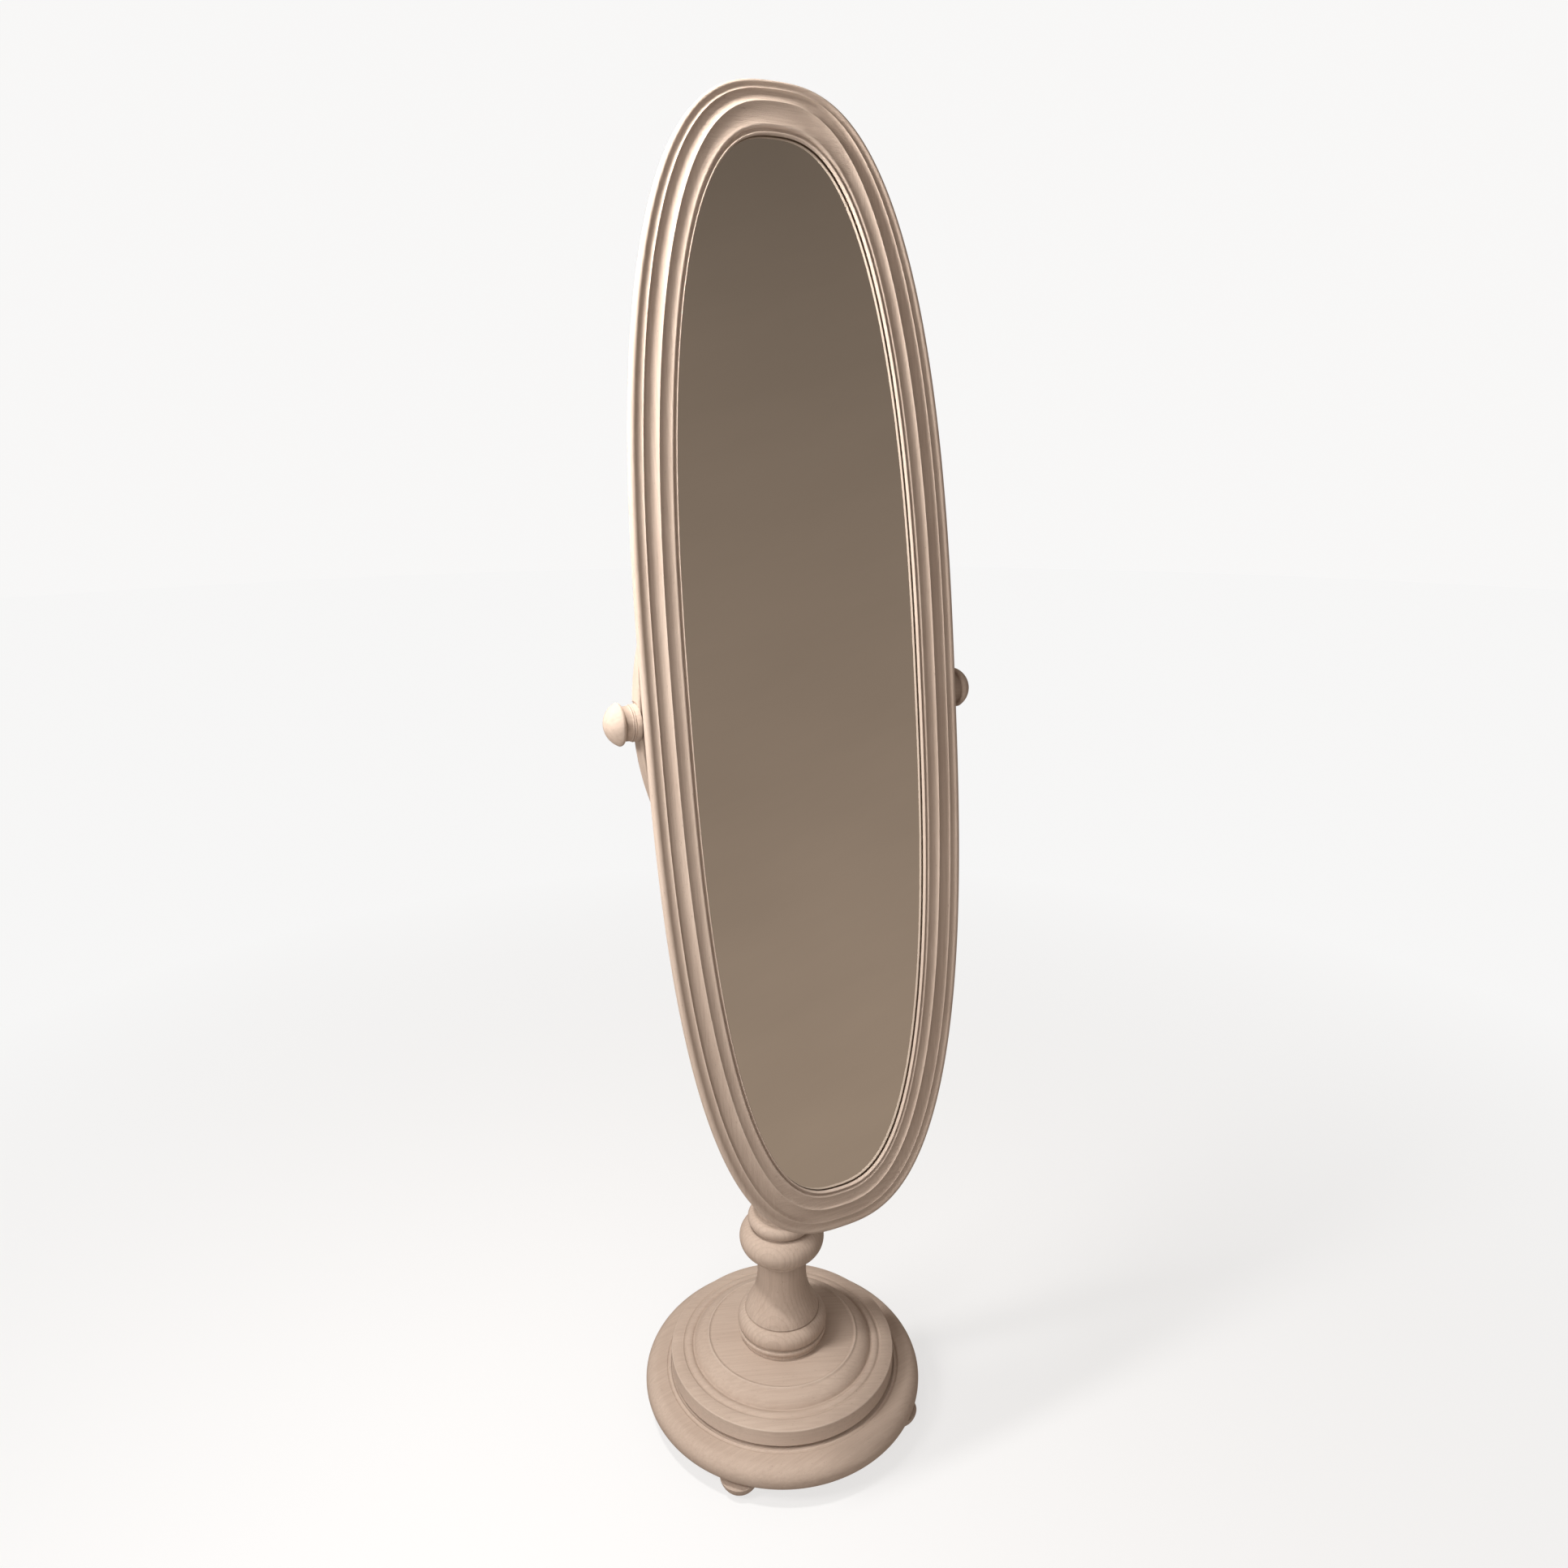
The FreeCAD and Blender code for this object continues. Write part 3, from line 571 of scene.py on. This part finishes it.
def moulding():
    """The frame's section as (width from the lip, height in front of the lip)."""
    front = outline(
        (0.0, -GLASS_FRONT), (0.0, -0.9), ((0.5, -0.2), (1.3, 0.0)), (2.1, -2.1), (4.0, -2.1),
        (4.8, -0.7), ((6.0, 0.1), (7.4, -0.1)), ((11.4, -1.2), (15.2, -1.2)),
        ((18.6, -0.7), (CREST_W, 0.8)), ((27.2, -2.3), (34.0, -3.5)), ((36.9, -2.9), (ARRIS_W, -0.9)),
        ((42.6, -2.5), (47.0, -1.8)), ((50.0, -1.3), (52.2, -2.3)), (FRAME_W, -3.3),
        (FRAME_W, -FLANGE_BACK + FLANGE_BEVEL), (FRAME_W - FLANGE_BEVEL, -FLANGE_BACK),
        (BODY_W, -FLANGE_BACK),
        (BODY_W, -BODY_BACK), (REBATE_W, -BODY_BACK), (REBATE_W, -GLASS_FRONT))
    return softened(front, True)


def frame_ring():
    """The whole moulding as one closed mesh in the mirror's own axes, slightly uneven as hand work is."""
    section = moulding()
    # The section runs clockwise here, so its hollows turn the other way from a lathe outline's.
    hollows = [-c for c in cavity_of(section, True)]
    bm = bmesh.new()
    layer = bm.verts.layers.float.new("cavity")
    rings = []
    for x, z, out, reaches in oval_stations():
        ring = []
        for point, hollow in zip(section, hollows):
            width = fitted(point.x, reaches)
            place = Vector((x + out.x * width, LIP_Y - point.y, z + out.y * width)) * MM
            if point.y > -GLASS_FRONT and WORN_FROM < point.x < WORN_TO:
                place.y += abs(sum(noise.noise(place * waves) * height for waves, height in WAVES))
            vert = bm.verts.new(place)
            vert[layer] = hollow
            ring.append(vert)
        rings.append(ring)
    count = len(section)
    for a, b in zip(rings, rings[1:] + rings[:1]):
        for i in range(count):
            j = (i + 1) % count
            bm.faces.new((a[i], a[j], b[j], b[i]))
    return bm


def keep_side(bm, point, normal):
    """Cut the mesh by a plane, drop what is on the normal's side and close the cut."""
    geometry = bm.verts[:] + bm.edges[:] + bm.faces[:]
    cut = bmesh.ops.bisect_plane(bm, geom=geometry, plane_co=point, plane_no=normal, clear_outer=True)
    edges = [e for e in cut["geom_cut"] if isinstance(e, bmesh.types.BMEdge)]
    bmesh.ops.holes_fill(bm, edges=edges, sides=0)


def build_frame():
    """Both rails and both stiles, cut from one ring where the real joints are."""
    ring = frame_ring()
    right = Vector((1, 0, 0))
    up = Vector((0, 0, 1))
    half = RAIL_HALF * MM * right
    rail = [(half, right), (-half, -right)]
    pieces = [
        ("frame_top", "rail", rail + [(Vector(), -up)]),
        ("frame_bottom", "rail", rail + [(Vector(), up)]),
        ("frame_left", "stile", [(-half, right)]),
        ("frame_right", "stile", [(half, -right)]),
    ]
    for node, finish, planes in pieces:
        bm = ring.copy()
        for point, normal in planes:
            keep_side(bm, point, normal)
        bmesh.ops.transform(bm, matrix=TO_MIRROR, verts=bm.verts)
        stands_for(new_object(node + "_moulded", bm), node, "mirror", finish)
    ring.free()


def oval_plate(name, over, front, back):
    """Oval plate with bevelled edges that reaches over past the lip, between two depths."""
    bm = bmesh.new()
    inner = over - PLATE_BEVEL
    section = [(inner, front), (over, front + PLATE_BEVEL), (over, back - PLATE_BEVEL), (inner, back)]
    rings = [[] for _ in section]
    for x, z, out, reaches in oval_stations():
        for ring, (width, depth) in zip(rings, section):
            reach = fitted(width, reaches)
            place = Vector((x + out.x * reach, LIP_Y + depth, z + out.y * reach)) * MM
            ring.append(bm.verts.new(place))
    count = len(rings[0])
    for a, b in zip(rings, rings[1:]):
        for i in range(count):
            j = (i + 1) % count
            bm.faces.new((a[i], b[i], b[j], a[j]))
    bm.faces.new(rings[0])
    bm.faces.new(rings[-1])
    bmesh.ops.transform(bm, matrix=TO_MIRROR, verts=bm.verts)
    return new_object(name, bm, smooth=False)


def build_glass():
    """The silvered glass and the board behind it."""
    glass = oval_plate("silvered_glass", GLASS_OVER, SILVER_DEPTH, BOARD_FRONT)
    stands_for(glass, "mirror_glass", "mirror", "mirror")
    board = oval_plate("back_panel", BOARD_OVER, BOARD_FRONT, BOARD_BACK)
    stands_for(board, "backing_board", "mirror", "board")


# ---- Stand ------------------------------------------------------------------------------------

# Millimetres: radii from the column's axis, and heights above the floor.
BASE_R = 200.0
BASE_ROUND = 18.0       # radius of the lower disc's edge
LOWER_TOP = 58.7
SPACER_R = 152.0
SPACER_TOP = 63.7
UPPER_TOP = 108.0
COLUMN_TOP = 296.9
FOOT_LOW = 2.0
FOOT_TOP = 21.3

# Materials of the nodes that keep their CAD shape, by the start of their names.
CAD_FINISH = {
    "yoke_arm": "arm", "knob_collar": "knob", "pivot_block": "arm", "yoke_dowels": "bare_wood",
    "frame_dowels": "bare_wood", "yoke_tenon_peg": "bare_wood", "arm_bush": "brass", "knob_insert": "brass",
    "pivot_insert": "brass", "pivot_stud": "steel", "tie_rod": "steel", "foot_screws": "steel",
    "base_screws": "steel", "pivot_block_screws": "steel", "framers_points": "steel",
    "friction_washer": "fibre", "felt_pad": "felt",
}


def build_base():
    """Lower disc, the spacer in the shadow gap, and the stepped upper disc."""
    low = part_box("base_disc_lower")[0].z / MM
    rim = BASE_R - BASE_ROUND
    corner = BASE_ROUND * (1 - math.sqrt(0.5))
    lower = lathe("turned_base_lower", outline(
        (0, low), (rim, low), ((BASE_R - corner, low + corner), (BASE_R, low + BASE_ROUND)),
        (BASE_R, LOWER_TOP - BASE_ROUND), ((BASE_R - corner, LOWER_TOP - corner), (rim, LOWER_TOP)),
        (169.6, LOWER_TOP), ((168.1, LOWER_TOP - 0.7), (166.6, LOWER_TOP)),
        ((164.6, LOWER_TOP + 0.9), (162.6, LOWER_TOP)), (0, LOWER_TOP), step_deg=4))
    stands_for(lower, "base_disc_lower", "stand", "disc_low")
    spacer = lathe("turned_base_spacer", outline(
        (0, LOWER_TOP), (SPACER_R, LOWER_TOP), (SPACER_R, SPACER_TOP), (0, SPACER_TOP)))
    stands_for(spacer, "base_spacer_disc", "stand", "disc_low")
    upper = lathe("turned_base_upper", outline(
        (0, SPACER_TOP), (161.6, SPACER_TOP), (161.6, 86.7), ((161.0, 88.1), (159.6, 88.7)),
        ((152.5, 90.4), (144.6, 90.4)), ((142.2, 89.3), (139.8, 90.6)), ((135.6, 91.9), (131.6, 90.9)),
        ((129.4, 90.2), (127.8, 91.8)), ((121.6, 100.2), (111.2, 105.4)), ((109.6, 106.2), (108.6, 107.2)),
        ((107.2, 108.0), (105.6, 107.2)), ((104.0, 106.8), (102.0, 107.2)), (70.0, UPPER_TOP),
        (0, UPPER_TOP)))
    stands_for(upper, "base_disc_upper", "stand", "disc")


def build_column():
    """The turned column, and the hub of the yoke on top of it."""
    column = lathe("turned_column", outline(
        (0, UPPER_TOP), (60.0, UPPER_TOP), (60.0, 114.0), (61.6, 114.6), ((63.6, 118.0), (62.6, 122.4)),
        ((60.6, 123.4), (60.4, 124.6)), ((63.0, 127.6), (63.9, 132.0)), ((60.9, 143.6), (53.6, 149.6)),
        ((52.0, 150.0), (52.7, 151.8)), ((50.6, 159.0), (46.5, 167.0)), ((37.6, 190.6), (34.8, 215.0)),
        (34.3, 236.6), ((35.5, 238.6), (34.4, 240.8)), (34.1, 245.0), ((35.0, 246.2), (37.4, 246.6)),
        ((53.6, 256.0), (59.8, 271.7)), ((56.4, 284.6), (47.2, 292.6)), (42.0, 293.2), (42.0, COLUMN_TOP),
        (0, COLUMN_TOP)))
    stands_for(column, "column", "stand", "turned")
    hub = lathe("turned_hub", outline(
        (0, COLUMN_TOP), (44.6, COLUMN_TOP), ((47.6, 305.0), (43.0, 313.4)), (38.0, 314.4),
        (36.0, 316.4), (36.0, 330.0), ((38.6, 342.0), (46.0, 348.0)), (48.0, 349.6),
        ((50.0, 356.0), (48.0, 362.4)), (43.0, 366.0), (0, 366.0)))
    stands_for(hub, "yoke_hub", "stand", "turned")


def build_feet():
    """Four ball feet, each over its CAD foot."""
    for depth in ("front", "back"):
        for side in ("left", "right"):
            node = f"foot_{depth}_{side}"
            low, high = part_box(node)
            middle = (low + high) / 2
            foot = lathe("ball_" + node, outline(
                (0, FOOT_LOW), (15.65, FOOT_LOW), ((22.1, 8.5), (26.87, FOOT_TOP)), (0, FOOT_TOP)),
                sides=FOOT_SIDES, origin=(middle.x, middle.y, 0))
            stands_for(foot, node, "stand", "turned")


def build_knobs():
    """Mushroom knobs. Their heights are distances from the middle of the mirror."""
    for side, axis in (("right", "X"), ("left", "-X")):
        knob = lathe("turned_knob_" + side, outline(
            (0, 206.8), (19.4, 206.8), ((20.0, 207.6), (19.5, 208.6)), (19.3, 215.6),
            ((20.0, 216.6), (21.6, 216.9)), ((23.5, 218.4), (24.0, 221.0)), ((17.9, 229.3), (0, 236.2))),
            sides=KNOB_SIDES, axis=axis, origin=(0, PIVOT.y, PIVOT.z))
        stands_for(knob, "knob_" + side, "knob_" + side, "knob")


def finish_cad_nodes():
    """Give the nodes that keep their CAD shape a material. The longest match with a name wins."""
    for node, obj in frame["nodes"].items():
        for start in sorted(CAD_FINISH, key=len):
            if node.startswith(start):
                finish_with(obj, CAD_FINISH[start])


build_frame()
build_glass()
build_base()
build_column()
build_feet()
build_knobs()
finish_cad_nodes()


# ---- Camera, light and floor ------------------------------------------------------------------

# Metres
CAMERA_PLACE = (-0.5773, -1.2013, 1.3411)
CAMERA_YAW_DEG = -25.58
CAMERA_DOWN_DEG = 17.20
CAMERA_ROLL_DEG = -0.32
CAMERA_LENS = 25.683
CAMERA_SHIFT = (0.0040, 0.0058)
STAGE_RADIUS = 12.0
STAGE_WHITE = (0.93, 0.925, 0.92, 1)
BLACK = (0, 0, 0, 1)
FLOOR_PAINT = (0.92, 0.93, 0.95, 1)
FLOOR_SHADING = 0.30    # share of the floor's look that shadows can change, close to the object
FLOOR_DIMMING = 0.88    # how much of its own shine that share gives up
FLOOR_FADE = (0.5, 2.2)         # distances from the middle between which the shadows fade out
SWEEP_HALF_W = 20.0
SWEEP_TOP = 14.0
SWEEP_FADE_TOP = 3.2    # height at which the sweep has its darkest brown
ROOM_COLOUR = (1.0, 0.86, 0.75, 1)
ROOM_STRENGTH = 0.30
# Each lamp: name, place, point that it shines at, diameter, watts, colour
LIGHTS = [
    ("key", (-0.55, -0.03, 2.0), (0, 0, 0.8), 0.16, 18, (1.0, 0.965, 0.92)),
    ("window", (-1.3, -0.24, 1.5), (0, 0, 0.9), 0.6, 14, (1.0, 0.97, 0.93)),
    ("fill", (-1.4, -1.4, 0.9), (0, 0, 0.5), 0.9, 11, (1.0, 0.95, 0.90)),
]


def build_camera():
    """Camera at head height, left of the mirror, that looks a little down."""
    camera = bpy.data.cameras.new("camera")
    camera.lens = CAMERA_LENS
    camera.shift_x, camera.shift_y = CAMERA_SHIFT
    obj = bpy.data.objects.new("camera", camera)
    yaw = Matrix.Rotation(math.radians(CAMERA_YAW_DEG), 4, "Z")
    pitch = Matrix.Rotation(math.radians(90 - CAMERA_DOWN_DEG), 4, "X")
    roll = Matrix.Rotation(math.radians(CAMERA_ROLL_DEG), 4, "Z")
    obj.matrix_world = Matrix.Translation(CAMERA_PLACE) @ yaw @ pitch @ roll
    bpy.context.scene.collection.objects.link(obj)
    bpy.context.scene.camera = obj


def area_light(name, place, aim, size, power, colour):
    """Round soft light that doesn't show in the mirror."""
    light = bpy.data.lights.new(name, "AREA")
    light.shape = "DISK"
    light.size = size
    light.energy = power
    light.color = colour
    obj = bpy.data.objects.new(name, light)
    obj.location = place
    obj.rotation_euler = (Vector(aim) - Vector(place)).to_track_quat("-Z", "Y").to_euler()
    obj.visible_glossy = False
    bpy.context.scene.collection.objects.link(obj)


def stage_sheet(name, bm):
    """Part of the set that shines evenly, lights nothing and throws no shadow."""
    n = Nodes(name)
    n.shader.inputs["Base Color"].default_value = BLACK
    n.shader.inputs["Emission Color"].default_value = STAGE_WHITE
    n.shader.inputs["Emission Strength"].default_value = 1.0
    sheet = new_object(name, bm)
    sheet.data.materials.append(n.material)
    sheet.visible_shadow = False
    sheet.visible_diffuse = False
    return sheet, n


def build_backdrop():
    """Near-white dome that only the camera sees."""
    bm = bmesh.new()
    bmesh.ops.create_uvsphere(bm, u_segments=64, v_segments=32, radius=STAGE_RADIUS)
    stage_sheet("studio_dome", bm)[0].visible_glossy = False


def build_floor():
    """Pale floor that takes a faint shadow near the object and fades into the dome further out."""
    bm = bmesh.new()
    bmesh.ops.create_circle(bm, cap_ends=True, segments=96, radius=STAGE_RADIUS)
    floor, n = stage_sheet("studio_floor", bm)
    floor.visible_glossy = False
    radius = n.add("VectorMath", {"operation": "LENGTH"})
    n.put(radius.inputs[0], n.coords())
    far = n.ramp(radius.outputs["Value"], *FLOOR_FADE)
    lit = n.math("MULTIPLY", n.math("SUBTRACT", 1.0, far), FLOOR_SHADING)
    shine = n.math("SUBTRACT", 1.0, n.math("MULTIPLY", lit, FLOOR_DIMMING))
    n.put(n.shader.inputs["Base Color"], n.mix(lit, BLACK, FLOOR_PAINT))
    n.put(n.shader.inputs["Emission Strength"], shine)
    n.shader.inputs["Roughness"].default_value = 0.9
    n.shader.inputs["Specular IOR Level"].default_value = 0.0


def build_reflection():
    """Glowing brown sweep in front of the mirror, seen only in reflections: floor, then wall. It is a
    painted reflection of a room, lighter where its floor is lit and darker up the wall.
    """
    bm = bmesh.new()
    profile = outline((2.0, -0.02), (-1.6, -0.02), ((-2.24, 0.24), (-2.5, 0.88)), (-2.5, SWEEP_TOP))
    rows = [[bm.verts.new((x, y, z)) for x in (-SWEEP_HALF_W, SWEEP_HALF_W)] for y, z in profile]
    for a, b in zip(rows, rows[1:]):
        bm.faces.new((a[0], a[1], b[1], b[0]))
    sweep, n = stage_sheet("reflection_sweep", bm)
    sweep.visible_camera = False
    place = n.add("SeparateXYZ")
    n.put(place.inputs[0], n.coords())
    height = n.ramp(place.outputs["Z"], 0.0, SWEEP_FADE_TOP)
    mottle = n.noise(n.coords(), 0.7, 2.0)
    # Painted reflection: light floor brown low down, darker shaded wall brown higher up.
    colour = n.mix(height, srgb(158, 138, 121), srgb(104, 91, 80))
    colour = n.mix(n.math("MULTIPLY", n.ramp(mottle, 0.35, 0.65), 0.35), colour, srgb(128, 111, 97))
    n.put(n.shader.inputs["Emission Color"], colour)


def build_room():
    """Even warm light from all round, and the lamps."""
    world = bpy.data.worlds.new("studio")
    world.use_nodes = True
    background = world.node_tree.nodes["Background"]
    background.inputs["Color"].default_value = ROOM_COLOUR
    background.inputs["Strength"].default_value = ROOM_STRENGTH
    bpy.context.scene.world = world
    for light in LIGHTS:
        area_light(*light)


build_camera()
build_backdrop()
build_floor()
build_reflection()
build_room()
bpy.context.scene.view_settings.view_transform = "Standard"
